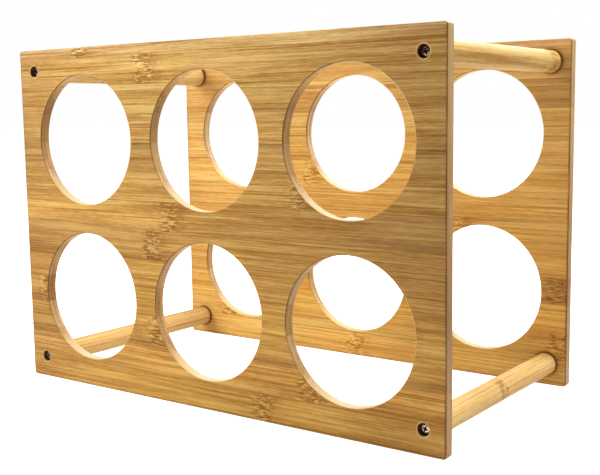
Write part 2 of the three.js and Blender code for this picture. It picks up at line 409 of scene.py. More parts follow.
# ---------------------------------------------------------------- shader helper
class Shader:
    """A material's node tree, written as expressions."""

    def __init__(self, name):
        self.material = bpy.data.materials.new(name)
        self.material.use_nodes = True
        self.tree = self.material.node_tree
        self.tree.nodes.clear()

    def node(self, kind, values=(), **settings):
        made = self.tree.nodes.new(kind)
        for key, value in settings.items():
            setattr(made, key, value)
        for key, value in dict(values).items():
            self.feed(made.inputs[key], value)
        return made

    def feed(self, socket, value):
        if isinstance(value, bpy.types.NodeSocket):
            self.tree.links.new(value, socket)
        else:
            socket.default_value = value

    def math(self, operation, *values):
        return self.node("ShaderNodeMath", dict(enumerate(values)), operation=operation).outputs[0]

    def vector(self, operation, a, b):
        return self.node("ShaderNodeVectorMath", {0: a, 1: b}, operation=operation).outputs[0]

    def axes(self, vector):
        """The X, Y and Z of a vector."""
        return self.node("ShaderNodeSeparateXYZ", {0: vector}).outputs

    def place_mm(self):
        """The place in object space, in millimetres."""
        place = self.node("ShaderNodeTexCoord").outputs["Object"]
        return self.vector("MULTIPLY", place, (1 / MM, 1 / MM, 1 / MM))

    def facing(self):
        """The way the surface looks, as a unit vector."""
        return self.node("ShaderNodeNewGeometry").outputs["Normal"]

    def noise(self, place, fineness, detail=2.0, roughness=0.5, output=0):
        """Soft noise from 0 to 1 over place, as fine as fineness says along X, Y and Z."""
        made = self.node("ShaderNodeTexNoise", {
            "Vector": self.vector("MULTIPLY", place, fineness),
            "Scale": 1.0,
            "Detail": detail,
            "Roughness": roughness,
        })
        return made.outputs[output]

    def between(self, value, low, high, out_low=0.0, out_high=1.0):
        """value from low to high, eased to out_low to out_high."""
        made = self.node(
            "ShaderNodeMapRange",
            {0: value, 1: low, 2: high, 3: out_low, 4: out_high},
            interpolation_type="SMOOTHSTEP",
        )
        return made.outputs[0]

    def patches(self, place, fineness, levels, shares=(0.0, 1.0), detail=2.0, roughness=0.5):
        """Noise that goes from the first share to the second between its two levels."""
        return self.between(self.noise(place, fineness, detail, roughness), *levels, *shares)

    def mix(self, factor, a, b, blend="MIX"):
        made = self.node("ShaderNodeMix", data_type="RGBA", blend_type=blend)
        for index, value in ((0, factor), (6, a), (7, b)):
            self.feed(made.inputs[index], value)
        return made.outputs[2]

    def tinted(self, colour, red, green, blue):
        """colour, with each of its channels multiplied by a tone."""
        tint = self.node("ShaderNodeCombineXYZ", {0: red, 1: green, 2: blue}).outputs[0]
        return self.mix(1.0, colour, tint, "MULTIPLY")

    def ramp(self, factor, stops, interpolation="LINEAR"):
        made = self.node("ShaderNodeValToRGB", {0: factor})
        ramp = made.color_ramp
        ramp.interpolation = interpolation
        while len(ramp.elements) < len(stops):
            ramp.elements.new(1.0)
        for element, (position, colour) in zip(ramp.elements, stops):
            element.position = position
            element.color = (*colour, 1.0)
        return made.outputs[0]

    def steps(self, index, values, low=0.0, high=1.0):
        """values[index] for a whole-numbered index, where values lie from low to high."""
        count = len(values)
        factor = self.math("DIVIDE", self.math("ADD", index, 0.5), count)
        shares = [(value - low) / (high - low) for value in values]
        stops = [(k / count, (share, share, share)) for k, share in enumerate(shares)]
        share = self.ramp(factor, stops, "CONSTANT")
        return self.math("MULTIPLY_ADD", share, high - low, low)

    def finish(self, colour, roughness, bump_height, bump_depth, **settings):
        bump = self.node("ShaderNodeBump", {
            "Strength": 1.0, "Distance": bump_depth, "Height": bump_height,
        })
        surface = self.node("ShaderNodeBsdfPrincipled", {
            "Base Color": colour, "Roughness": roughness, "Normal": bump.outputs[0],
        })
        for key, value in settings.items():
            surface.inputs[key.replace("_", " ")].default_value = value
        output = self.node("ShaderNodeOutputMaterial")
        self.tree.links.new(surface.outputs[0], output.inputs[0])
        return self.material


# ---------------------------------------------------------------- places from the boxes, in mm
def seat_mm():
    """How far the boards' inner faces lie from the middle of the rack."""
    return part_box("back_panel")[0].y / MM


def rack_top_mm():
    return cad_bounds[1].z / MM


def board_end_mm():
    """How far the boards' ends lie from the middle of the rack."""
    return cad_bounds[1].x / MM


def screw_grid_mm():
    """How far the screws lie from the rack's middle along X, their mid height, and half their rise."""
    top = sum(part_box("dowel_top_right"), Vector()) / 2
    bottom = sum(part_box("dowel_bottom_right"), Vector()) / 2
    return top.x / MM, (top.z + bottom.z) / 2 / MM, (top.z - bottom.z) / 2 / MM


# ---------------------------------------------------------------- bamboo in general
def by_axis(grain_axis, along, across):
    """along for the grain's axis, and across for the two others."""
    values = [across] * 3
    values[grain_axis] = along
    return tuple(values)


def fibre_figure(s, place, grain_axis, near_knuckle):
    """The fibre figure from 0, light, to 1, dark, and its finest layer by itself."""
    figure = MEAN_FIGURE
    for along, across, detail, roughness, strength, livelier in FIBRE_LAYERS:
        layer = s.noise(place, by_axis(grain_axis, along, across), detail, roughness)
        swing = s.math("MULTIPLY", s.math("SUBTRACT", layer, 0.5), strength)
        liveliness = s.math("MULTIPLY_ADD", near_knuckle, livelier, 1.0)
        figure = s.math("MULTIPLY_ADD", swing, liveliness, figure)
    fineness = by_axis(grain_axis, *DARK_LINE_FINENESS)
    lines = s.patches(place, fineness, DARK_LINE_LEVELS, detail=1.0)
    figure = s.math("MULTIPLY_ADD", lines, DARK_LINE_STRENGTH, figure)
    return figure, layer


def crinkled(s, place, grain_axis, near_knuckle):
    """place, with the fibres pushed sideways in short waves where they cross a knuckle."""
    waves = s.noise(place, CRINKLE_FINENESS, detail=1.0, output="Color")
    push = s.vector("SUBTRACT", waves, (0.5, 0.5, 0.5))
    push = s.vector("MULTIPLY", push, by_axis(grain_axis, 0.0, KNUCKLE_CRINKLE_MM))
    push = s.node("ShaderNodeVectorMath", {0: push, "Scale": near_knuckle}, operation="SCALE")
    return s.vector("ADD", place, push.outputs[0])


def fibre_colour(s, figure, palette):
    stops = [(0.0, palette["light"]), (0.5, palette["body"]), (1.0, palette["dark"])]
    return s.ramp(figure, stops)


def curled(s, colour, place, grain_axis, mask, curls, palette):
    """colour, with the short curled fibres of a knuckle over it, inside mask."""
    bend = s.noise(place, by_axis(grain_axis, *CURL_BEND_FINENESS), detail=1.0, output="Color")
    bend = s.vector("MULTIPLY", s.vector("SUBTRACT", bend, (0.5, 0.5, 0.5)), (CURL_BEND_MM,) * 3)
    fineness = by_axis(grain_axis, *[curls["fineness"] * value for value in CURL_FINENESS])
    shapes = s.noise(s.vector("ADD", place, bend), fineness, detail=1.0)
    dark = s.math("MULTIPLY", mask, s.between(shapes, *DARK_CURL_LEVELS, 0.0, curls["dark"]))
    pale = s.math("MULTIPLY", mask, s.between(shapes, *PALE_CURL_LEVELS, 0.0, curls["pale"]))
    colour = s.mix(dark, colour, palette["curl_dark_and_shade"])
    return s.mix(pale, colour, palette["curl_pale"])


# ---------------------------------------------------------------- laminated boards
def board_places(s, knuckles_mm, seed):
    """Where a point of a board lies on the rack, in its strip and from its strip's knuckle."""
    at = SimpleNamespace(place=s.place_mm())
    at.x, at.y, at.z = s.axes(at.place)
    at.facing_x, at.facing_y, at.facing_z = s.axes(s.facing())
    at.flatness = s.math("ABSOLUTE", at.facing_y)
    at.to_end = s.math("SUBTRACT", board_end_mm(), s.math("ABSOLUTE", at.x))

    level = s.math("DIVIDE", s.math("SUBTRACT", at.z, LOWEST_SEAM_MM), STRIP_HEIGHT_MM)
    at.strip = s.math("FLOOR", level)
    at.within = s.math("SUBTRACT", level, at.strip)

    # every strip is cut from its own stretch of culm
    lot = {"W": s.math("ADD", at.strip, seed)}
    shuffle = s.node("ShaderNodeTexWhiteNoise", lot, noise_dimensions="1D")
    at.warmth = shuffle.outputs["Value"]
    at.own = s.vector("ADD", at.place, s.vector("MULTIPLY", shuffle.outputs["Color"], STRIP_SHUFFLE_MM))

    # the nearest knuckle, which is ragged from fibre to fibre
    at.ragged = s.math("SUBTRACT", s.noise(at.own, RAGGED_FINENESS, detail=1.0), 0.5)
    knuckle_x = s.steps(at.strip, knuckles_mm, -KNUCKLE_LIMIT_MM, KNUCKLE_LIMIT_MM)
    offset = s.math("WRAP", s.math("SUBTRACT", at.x, knuckle_x), INTERNODE_MM / 2, -INTERNODE_MM / 2)
    at.from_knuckle = s.math("MULTIPLY_ADD", at.ragged, KNUCKLE_RAGGEDNESS_MM, offset)
    distance = s.math("ABSOLUTE", at.from_knuckle)
    at.knuckle = s.between(distance, *KNUCKLE_SPAN_MM)
    halo = s.between(distance, *KNUCKLE_HALO_MM, *KNUCKLE_HALO_LIVELINESS)
    at.near_knuckle = s.math("MULTIPLY_ADD", at.knuckle, KNUCKLE_CORE_LIVELINESS, halo)
    at.grain = crinkled(s, at.own, 0, at.near_knuckle)
    return at


def board_fibres(s, at, palette):
    """The fibres' colour, and their finest layer by itself."""
    figure, finest = fibre_figure(s, at.grain, 0, at.near_knuckle)
    left = s.between(at.from_knuckle, *SMUDGE_LEFT_SPAN_MM)
    right = s.between(at.from_knuckle, *SMUDGE_RIGHT_SPAN_MM)
    figure = s.math("MULTIPLY_ADD", s.math("MULTIPLY", left, right), SMUDGE_STRENGTH, figure)
    mask = s.math("MULTIPLY", at.knuckle, s.patches(at.own, **KNUCKLE_PATCHES))
    colour = fibre_colour(s, figure, palette)
    return curled(s, colour, at.own, 0, mask, BOARD_CURLS, palette), finest


def strip_tone(s, at, strips, dimming):
    """Each strip's tone: it drifts along the strip, dims towards its ends and leans to one end."""
    tone = s.steps(at.strip, strips["tones"], 0.0, 2.0)
    drift = s.noise(at.grain, DRIFT_FINENESS, detail=1.0)
    drift = s.math("MULTIPLY_ADD", drift, TONE_DRIFT, 1.0 - TONE_DRIFT / 2)
    tone = s.math("MULTIPLY", tone, drift)
    along = s.math("DIVIDE", at.x, TONE_REACH_MM)
    dimmed = s.math("MULTIPLY_ADD", s.math("MULTIPLY", along, along), -dimming, BOARD_MIDDLE_TONE)
    lean = s.math("ADD", s.steps(at.strip, strips["leans"], -0.5, 0.5), BOARD_LEAN)
    tone = s.math("MULTIPLY", tone, s.math("MULTIPLY_ADD", along, lean, dimmed))
    wavy_height = s.math("MULTIPLY_ADD", at.ragged, EDGE_WAVINESS, at.within)
    for edge_tones, span in ((strips["feet"], FOOT_SPAN), (strips["crowns"], CROWN_SPAN)):
        edge_tone = s.steps(at.strip, edge_tones)
        lost = s.math("SUBTRACT", 1.0, edge_tone)
        edge = s.math("MULTIPLY_ADD", s.between(wavy_height, *span), lost, edge_tone)
        tone = s.math("MULTIPLY", tone, edge)
    return tone


def toned(s, at, colour, tone, sill):
    """colour times tone; strips differ in warmth, and a painted sheen makes the board paler and less
    yellow higher up, most at its top edge.
    """
    green = s.math("POWER", tone, s.math("MULTIPLY_ADD", at.warmth, WARMTH_VARIETY, 1.0))
    green = s.math("MULTIPLY", green, s.between(at.z, *SILL_SPAN_MM, 1.0, 1.0 + (sill - 1.0) / 3.0))
    green = s.math("MULTIPLY", green, s.between(at.z, *RISE_SHEEN_SPAN_MM, *RISE_SHEEN_GREEN))
    blue = s.math("MULTIPLY", tone, s.between(at.z, *SILL_SPAN_MM, 1.0, sill))
    blue = s.math("MULTIPLY", blue, s.between(at.z, *CREST_SHEEN_SPAN_MM, 1.0, CREST_SHEEN_BLUE))
    blue = s.math("MULTIPLY", blue, s.between(at.z, *RISE_SHEEN_SPAN_MM, *RISE_SHEEN_BLUE))
    return s.tinted(colour, tone, green, blue)


def glue_lines(s, at):
    """How strongly the glue between two strips shows; it comes and goes along its length."""
    gap = s.math("MULTIPLY", s.math("PINGPONG", at.within, 0.5), STRIP_HEIGHT_MM)
    seam = s.between(gap, *SEAM_SPAN_MM)
    return s.math("MULTIPLY", seam, s.patches(at.place, **GLUE_PATCHES))


def cut_end_colour(s, at, strips, palette):
    """Pores of the fibres' cut ends; in the bottle holes each strip has its own tone, and on the
    board's outer ends painted light makes them paler and lighter higher up.
    """
    layers = s.math("SUBTRACT", s.noise(at.place, LAYER_FINENESS, detail=1.0), 0.5)
    pores = s.noise(at.grain, PORE_FINENESS)
    pores = s.between(s.math("MULTIPLY_ADD", layers, LAYERS_IN_CUT_ENDS, pores), *PORE_LEVELS)
    colour = s.mix(pores, palette["end_light"], palette["end_dark"])
    # painted light: the board's outer ends grow paler and lighter towards the top
    outside = s.between(at.to_end, *OUTER_END_DEPTH_MM)
    painted_toplight = s.math("MULTIPLY", outside, s.between(at.z, *END_TOPLIGHT_SPAN_MM, 0.0, END_TOPLIGHT_STRENGTH))
    colour = s.mix(painted_toplight, colour, palette["end_toplight"])
    knuckle = s.math("MULTIPLY", at.knuckle, KNUCKLE_ON_CUT_ENDS)
    colour = s.mix(knuckle, colour, palette["curl_dark_and_shade"])
    hole_tone = s.steps(at.strip, strips["ends"], 0.0, 2.0)
    outer_end_light = s.between(at.z, *OUTER_END_LIGHT_SPAN_MM, *OUTER_END_LIGHT_TONES)
    tone = s.math("MULTIPLY_ADD", outside, s.math("SUBTRACT", outer_end_light, hole_tone), hole_tone)
    green = s.math("POWER", tone, END_GREEN_POWER)
    return s.tinted(colour, tone, green, s.math("POWER", tone, END_BLUE_POWER))


def with_cut_faces(s, at, colour, strips, palette):
    """colour, with the fibres' cut ends sideways, and on upward faces their paler cut sides, partly
    their own colour and partly painted light from above.
    """
    sideways = s.math("ABSOLUTE", at.facing_x)
    cut_ends = s.between(sideways, *CUT_END_FACING, 0.0, CUT_END_STRENGTH)
    colour = s.mix(cut_ends, colour, cut_end_colour(s, at, strips, palette))
    # paler side grain only on faces that look up: partly its own colour, partly painted light from
    # above
    toplit_cut_sides = s.between(at.facing_z, *CUT_SIDE_FACING, 0.0, CUT_SIDE_AND_TOPLIGHT_STRENGTH)
    to_top = s.math("SUBTRACT", rack_top_mm(), at.z)
    below_top = s.between(to_top, *CUT_SIDE_BELOW_TOP_MM, CUT_SIDE_SHARE_ON_TOP, 1.0)
    level = s.between(at.facing_z, *CUT_SIDE_LEVEL_FACING)
    side_colour = s.mix(level, palette["side"], palette["side_flat"])
    return s.mix(s.math("MULTIPLY", toplit_cut_sides, below_top), colour, side_colour)


def with_arrises(s, at, colour, palette):
    """colour, with darker rounded edges, partly a finish gathered there and partly painted shade, so
    that upward edges get little of it; a painted highlight on the rounded edges facing -X; and a dark
    line in patches along the board's ends.
    """
    # darker rounded edges: partly gathered finish, partly painted shade, kept off edges that face up
    inner = s.between(at.flatness, *ARRIS_INNER_FACING)
    outer = s.between(at.flatness, *ARRIS_OUTER_FACING, 0.0, ARRIS_STRENGTH)
    upward = s.between(at.facing_z, *ARRIS_UPWARD_FACING, ARRIS_SHARE_UPWARD, 1.0)
    arris = s.math("MULTIPLY", s.math("MULTIPLY", inner, outer), upward)
    # painted highlight: rounded edges facing -X take the pale rim colour in place of the dark one
    unhighlit = s.between(at.facing_x, *ARRIS_HIGHLIGHT_TO_DARK_FACING)
    colour = s.mix(arris, colour, s.mix(unhighlit, palette["rim"], palette["arris"]))
    end_line = s.math("MULTIPLY", s.between(at.to_end, *END_LINE_DEPTH_MM), at.flatness)
    end_line = s.math("MULTIPLY", end_line, s.patches(at.place, **WORN_PATCHES))
    return s.mix(end_line, colour, palette["arris"])


def with_screw_marks(s, at, colour, palette):
    """colour, with a pale ring round each screw hole outside, and inside a painted shadow round each
    dowel, darkest where the dowel meets the board.
    """
    side, middle_height, rise = screw_grid_mm()
    across = s.math("SUBTRACT", s.math("ABSOLUTE", at.x), side)
    up = s.math("SUBTRACT", s.math("ABSOLUTE", s.math("SUBTRACT", at.z, middle_height)), rise)
    square = s.math("MULTIPLY_ADD", across, across, s.math("MULTIPLY", up, up))
    from_screw = s.math("SQRT", square)
    ring = s.between(from_screw, *PALE_RING_SPAN_MM, 0.0, PALE_RING_STRENGTH)
    ring = s.math("MULTIPLY", ring, s.between(at.flatness, *PALE_RING_FACING))
    colour = s.mix(ring, colour, palette["rim"])
    depth = s.math("SUBTRACT", s.math("ABSOLUTE", at.y), seat_mm())
    inside = s.between(depth, *INNER_FACE_DEPTH_MM)
    # painted shadow: the inner face darkens round each dowel, most in a narrow ring where the dowel
    # meets it
    dowel_shadow = s.between(from_screw, *DOWEL_SHADOW_SPAN_MM, 0.0, DOWEL_SHADOW_STRENGTH)
    colour = s.mix(s.math("MULTIPLY", inside, dowel_shadow), colour, palette["curl_dark_and_shade"])
    contact_shade = s.between(from_screw, *CONTACT_SHADE_SPAN_MM, 0.0, CONTACT_SHADE_STRENGTH)
    return s.mix(s.math("MULTIPLY", inside, contact_shade), colour, palette["contact_shade"])


def board_material(name, strips, palette, seed, coating=None):
    """Flat-pressed laminated bamboo: strips along X, one knuckle now and then.

    coating, if given, is a colour that hides the bamboo and how much of it hides.
    """
    s = Shader(name)
    at = board_places(s, strips["knuckles_mm"], seed)
    colour, finest = board_fibres(s, at, palette)
    tone = strip_tone(s, at, strips, palette["dimming"])
    colour = toned(s, at, colour, tone, palette["sill"])
    seam = glue_lines(s, at)
    colour = s.mix(seam, colour, palette["seam"])
    colour = with_cut_faces(s, at, colour, strips, palette)
    colour = with_arrises(s, at, colour, palette)
    colour = with_screw_marks(s, at, colour, palette)
    if coating:
        colour = s.mix(coating[1], colour, coating[0])
    roughness = s.math("MULTIPLY_ADD", finest, FIBRE_ROUGHNESS, LACQUER_ROUGHNESS)
    height = s.math("MULTIPLY_ADD", seam, -SEAM_DEPTH, s.math("MULTIPLY", finest, -1.0))
    return s.finish(colour, roughness, height, GRAIN_DEPTH, **LACQUER)


# ---------------------------------------------------------------- dowels and screws: looks
def dark_side(s, facing, angle_deg):
    """1 on the side of a dowel that looks towards angle_deg, in degrees up from +X."""
    turn = math.radians(angle_deg)
    toward = (math.cos(turn), 0.0, math.sin(turn))
    aligned = s.node("ShaderNodeVectorMath", {0: facing, 1: toward}, operation="DOT_PRODUCT")
    return s.between(aligned.outputs["Value"], *DARK_SIDE_FACING)


def dowel_material(name, knuckle_mm, dark_side_deg, palette, seed):
    """A round bamboo rod with its fibres along Y, darker down one side."""
    s = Shader(name)
    place = s.place_mm()
    y = s.axes(place)[1]
    facing = s.facing()
    own = s.vector("ADD", place, tuple(seed * shift for shift in DOWEL_SHUFFLE_MM))
    ragged = s.math("SUBTRACT", s.noise(own, DOWEL_RAGGED_FINENESS, detail=1.0), 0.5)
    offset = s.math("SUBTRACT", y, float(knuckle_mm))
    offset = s.math("MULTIPLY_ADD", ragged, DOWEL_KNUCKLE_RAGGEDNESS_MM, offset)
    knuckle = s.between(s.math("ABSOLUTE", offset), *DOWEL_KNUCKLE_SPAN_MM)
    knuckle = s.math("MULTIPLY", knuckle, s.patches(own, **DOWEL_KNUCKLE_PATCHES))
    near_knuckle = s.math("ADD", knuckle, DOWEL_LIVELINESS)
    grain = crinkled(s, own, 1, near_knuckle)

    figure, finest = fibre_figure(s, grain, 1, near_knuckle)
    figure = s.math("MULTIPLY_ADD", figure, DOWEL_FIGURE_CONTRAST, DOWEL_FIGURE_BASE)
    figure = s.math("MULTIPLY_ADD", knuckle, DOWEL_KNUCKLE_STRENGTH, figure)
    darker = dark_side(s, facing, dark_side_deg)
    figure = s.math("MULTIPLY_ADD", darker, DARK_SIDE_STRENGTH, figure)
    colour = fibre_colour(s, figure, palette)
    colour = curled(s, colour, own, 1, knuckle, DOWEL_CURLS, palette)

    to_seat = s.math("SUBTRACT", seat_mm(), s.math("ABSOLUTE", y))
    shade = s.between(to_seat, *DOWEL_END_SHADE_MM, 0.0, DOWEL_END_SHADE_STRENGTH)
    # painted shade: the dowel darkens just before it meets a board, in the knuckle curls' dark colour
    colour = s.mix(shade, colour, palette["curl_dark_and_shade"])
    lengthways = s.math("ABSOLUTE", s.axes(facing)[1])
    cut_ends = s.between(lengthways, *DOWEL_CUT_END_FACING, 0.0, DOWEL_CUT_END_STRENGTH)
    pores = s.patches(grain, **DOWEL_PORES)
    colour = s.mix(cut_ends, colour, s.mix(pores, palette["end_light"], palette["end_dark"]))

    roughness = s.math("MULTIPLY_ADD", finest, FIBRE_ROUGHNESS, SATIN_ROUGHNESS)
    height = s.math("MULTIPLY", finest, -1.0)
    return s.finish(colour, roughness, height, GRAIN_DEPTH, **SATIN)


def screw_material(name, dull, worn):
    """Dark bronze plated steel, or the near-black painted shade inside the cross recess; dull and worn
    are its two colours, metal ones for the plating.
    """
    s = Shader(name)
    place = s.place_mm()
    colour = s.mix(s.patches(place, **PATINA), dull, worn)
    scuffs = s.noise(place, SCUFF_FINENESS, detail=3.0, roughness=0.7)
    colour = s.mix(s.between(scuffs, *SCUFF_LEVELS, 0.0, SCUFF_STRENGTH), colour, worn)
    roughness = s.math("MULTIPLY_ADD", scuffs, SCUFF_ROUGHNESS, PLATING_ROUGHNESS)
    return s.finish(colour, roughness, scuffs, SCUFF_DEPTH, Metallic=1.0)


# ---------------------------------------------------------------- outlines
def quarter_turn(steps):
    """Angles from 0 to 90 degrees, in radians."""
    return [k / steps * math.pi / 2 for k in range(steps + 1)]


def quarter_round(radius, steps):
    """A rounded edge as (gap to the side, gap to the end), from the end round to the side."""
    return [(radius * (1 - math.sin(a)), radius * (1 - math.cos(a))) for a in quarter_turn(steps)]


def circle(centre_x, centre_z, radius, count):
    turns = [2 * math.pi * k / count for k in range(count)]
    return [(centre_x + radius * math.cos(a), centre_z + radius * math.sin(a)) for a in turns]


def rounded_rectangle(low, high, radius, steps):
    """Anticlockwise outline of a rectangle with round corners, in X and Z."""
    corners = [
        (high[0] - radius, high[1] - radius, 0),
        (low[0] + radius, high[1] - radius, 1),
        (low[0] + radius, low[1] + radius, 2),
        (high[0] - radius, low[1] + radius, 3),
    ]
    points = []
    for x, z, quarter in corners:
        for k in range(steps + 1):
            a = (quarter + k / steps) * math.pi / 2
            points.append((x + radius * math.cos(a), z + radius * math.sin(a)))
    return points


def cross_outline(span, width):
    """Outline of a Phillips cross with round arm ends, in X and Z."""
    points = []
    reach, half = span / 2, width / 2
    for arm in range(4):
        turn = arm * math.pi / 2
        local = [(half, -half)]
        for k in range(RECESS_ARM_STEPS + 1):
            a = -math.pi / 2 + math.pi * k / RECESS_ARM_STEPS
            local.append((reach - half + half * math.cos(a), half * math.sin(a)))
        for u, v in local:
            x = u * math.cos(turn) - v * math.sin(turn)
            z = u * math.sin(turn) + v * math.cos(turn)
            points.append((x, z))
    return points


# ---------------------------------------------------------------- mesh helpers
def add_ring(bm, points, y):
    return [bm.verts.new((x, y, z)) for x, z in points]


def join_rings(bm, a, b, smooth=True, slot=0):
    count = len(a)
    for k in range(count):
        face = bm.faces.new((a[k], a[(k + 1) % count], b[(k + 1) % count], b[k]))
        face.smooth = smooth
        face.material_index = slot


def ring_edges(bm, ring):
    return [bm.edges.get((ring[k], ring[(k + 1) % len(ring)])) for k in range(len(ring))]


def place_object(name, mesh):
    made = bpy.data.objects.new(name, mesh)
    bpy.context.scene.collection.objects.link(made)
    return made


def mesh_object(name, bm, materials):
    bmesh.ops.recalc_face_normals(bm, faces=bm.faces)
    mesh = bpy.data.meshes.new(name)
    bm.to_mesh(mesh)
    bm.free()
    for material in materials:
        mesh.materials.append(material)
    return place_object(name, mesh)


def settle(piece, node):
    """The piece stands for its CAD node, on the rack's one body."""
    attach(piece, "root")
    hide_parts(node)


def node_axis(node):
    """(x, z) of the middle of a CAD node, which is the axis of a dowel or a screw."""
    low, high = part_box(node)
    return (low.x + high.x) / 2, (low.z + high.z) / 2


# ---------------------------------------------------------------- boards
def drill_screw_hole(bm, x, z, outer, inner, into):
    """Counterbore and screw hole; returns the edges where they meet the two faces."""
    floor = outer + into * COUNTERBORE_DEPTH
    bore = [
        (COUNTERBORE_RADIUS + COUNTERBORE_CHAMFER, outer),
        (COUNTERBORE_RADIUS, outer + into * COUNTERBORE_CHAMFER),
        (COUNTERBORE_RADIUS, floor),
        (SCREW_HOLE_RADIUS, floor),
        (SCREW_HOLE_RADIUS, inner),
    ]
    rings = [add_ring(bm, circle(x, z, radius, SCREW_HOLE_SIDES), y) for radius, y in bore]
    chamfer, wall, ledge, hole = zip(rings, rings[1:])
    join_rings(bm, *chamfer, smooth=False, slot=1)
    # The counterbore wall, its ledge and the screw hole take slot 2: scorch-darkened wood with painted
    # shade.
    join_rings(bm, *wall, slot=2)
    join_rings(bm, *ledge, smooth=False, slot=2)
    join_rings(bm, *hole, slot=2)
    return ring_edges(bm, rings[0]), ring_edges(bm, rings[-1])


def make_board(name, node, outward, materials):
    """A drilled board with eased edges; outward is -1 if its outer face looks towards -Y."""
    low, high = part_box(node)
    outer, inner = (low.y, high.y) if outward < 0 else (high.y, low.y)
    into = -outward
    bm = bmesh.new()

    easing = quarter_round(EDGE_ROUNDING, EDGE_STEPS)
    stations = [(gap, outer + into * depth) for gap, depth in easing]
    stations += [(gap, inner - into * depth) for gap, depth in reversed(easing)]
    outer_edges, inner_edges = [], []

    def sweep(outline_for):
        rings = [add_ring(bm, outline_for(gap), y) for gap, y in stations]
        for a, b in zip(rings, rings[1:]):
            join_rings(bm, a, b)
        outer_edges.extend(ring_edges(bm, rings[0]))
        inner_edges.extend(ring_edges(bm, rings[-1]))

    sweep(lambda gap: rounded_rectangle(
        (low.x + gap, low.z + gap), (high.x - gap, high.z - gap), CORNER_RADIUS - gap, CORNER_STEPS))
    for row in (-0.5, 0.5):
        for column in (-1, 0, 1):
            x = column * BOTTLE_PITCH_X
            z = low.z + BOTTLE_GRID_HEIGHT + row * BOTTLE_PITCH_Z
            sweep(lambda gap, x=x, z=z: circle(x, z, BOTTLE_HOLE_RADIUS + gap, BOTTLE_HOLE_SIDES))

    # the screws' axes are the dowels' axes
    for dowel in DOWELS:
        outside, inside = drill_screw_hole(bm, *node_axis(dowel), outer, inner, into)
        outer_edges.extend(outside)
        inner_edges.extend(inside)

    for edges, normal in ((outer_edges, outward), (inner_edges, into)):
        bmesh.ops.triangle_fill(bm, edges=edges, use_beauty=True, normal=(0, normal, 0))
    settle(mesh_object(name, bm, materials), node)


# ---------------------------------------------------------------- turned pieces
def turned(bm, stations, count, centre=(0.0, 0.0), wave=None):
    """Rings of (radius, y) about a Y axis; a first or last radius of 0 closes to a point."""
    rings = []
    for radius, y in stations:
        if radius == 0:
            rings.append([bm.verts.new((centre[0], y, centre[1]))])
            continue
        ring = []
        for k in range(count):
            a = 2 * math.pi * k / count
            r = radius if wave is None else wave(radius, y, a)
            ring.append(bm.verts.new((centre[0] + r * math.cos(a), y, centre[1] + r * math.sin(a))))
        rings.append(ring)
    for a, b in zip(rings, rings[1:]):
        if len(a) > 1 and len(b) > 1:
            join_rings(bm, a, b)
            continue
        tip, ring = (a[0], b) if len(a) == 1 else (b[0], a)
        for k in range(count):
            face = bm.faces.new((tip, ring[k], ring[(k + 1) % count]))
            face.smooth = True


def make_dowel(name, node, material):
    """A rod with rounded ends and a pointed pilot hole in each end."""
    low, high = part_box(node)
    radius = (high.x - low.x) / 2
    end = [
        (0, PILOT_DEPTH),
        (PILOT_RADIUS, PILOT_DEPTH - PILOT_TIP_LENGTH),
        (PILOT_RADIUS, PILOT_CHAMFER),
        (PILOT_RADIUS + PILOT_CHAMFER, 0),
    ]
    end += [(radius - gap, depth) for gap, depth in quarter_round(DOWEL_END_ROUNDING, DOWEL_END_STEPS)]
    stations = [(r, low.y + depth) for r, depth in end]
    stations += [(r, high.y - depth) for r, depth in reversed(end)]
    bm = bmesh.new()
    turned(bm, stations, DOWEL_SIDES, node_axis(node))
    settle(mesh_object(name, bm, [material]), node)


# ---------------------------------------------------------------- screws
def recess_cutter():
    """The tapered cross that a Phillips driver fits, from above the head down into it."""
    bm = bmesh.new()
    rings = []
    for span_share, width_share, depth in RECESS_LEVELS:
        outline = cross_outline(span_share * RECESS_SPAN, width_share * RECESS_ARM_WIDTH)
        rings.append(add_ring(bm, outline, depth - SCREW_HEAD_HEIGHT))
    for a, b in zip(rings, rings[1:]):
        join_rings(bm, a, b, smooth=False)
    bm.faces.new(rings[0])
    bm.faces.new(list(reversed(rings[-1])))
    return mesh_object("recess_cutter", bm, [])


def dome_height(from_axis):
    """y of the head's domed top, at a distance from the screw's axis."""
    lean = min(1.0, from_axis / (SCREW_HEAD_RADIUS - HEAD_EDGE_ROUNDING))
    return SCREW_HEAD_DOME - SCREW_HEAD_HEIGHT - SCREW_HEAD_DOME * math.sqrt(1.0 - lean * lean)


def mark_recess(mesh):
    """Give the faces inside the cross recess the second material, which is painted shade."""
    for face in mesh.polygons:
        x, y, z = face.center
        from_axis = math.hypot(x, z)
        in_head = y < -HEAD_SEAT_CHAMFER and from_axis < RECESS_SPAN / 2 + RECESS_FACE_MARGIN
        if in_head and y > dome_height(from_axis) + RECESS_FACE_MARGIN:
            face.material_index = 1


def head_profile():
    """(radius, y) of the domed head with its rolled edge, from the top down to the seat."""
    shoulder = SCREW_HEAD_DOME - SCREW_HEAD_HEIGHT
    dome_radius = SCREW_HEAD_RADIUS - HEAD_EDGE_ROUNDING
    dome = [(0, -SCREW_HEAD_HEIGHT)]
    for a in quarter_turn(HEAD_DOME_STEPS)[1:]:
        dome.append((dome_radius * math.sin(a), shoulder - SCREW_HEAD_DOME * math.cos(a)))
    edge = [
        (SCREW_HEAD_RADIUS - gap, shoulder + depth)
        for gap, depth in quarter_round(HEAD_EDGE_ROUNDING, HEAD_EDGE_STEPS)[1:]
    ]
    seat = [(SCREW_HEAD_RADIUS, -HEAD_SEAT_CHAMFER), (SCREW_HEAD_RADIUS - HEAD_SEAT_CHAMFER, 0)]
    return dome + edge + seat


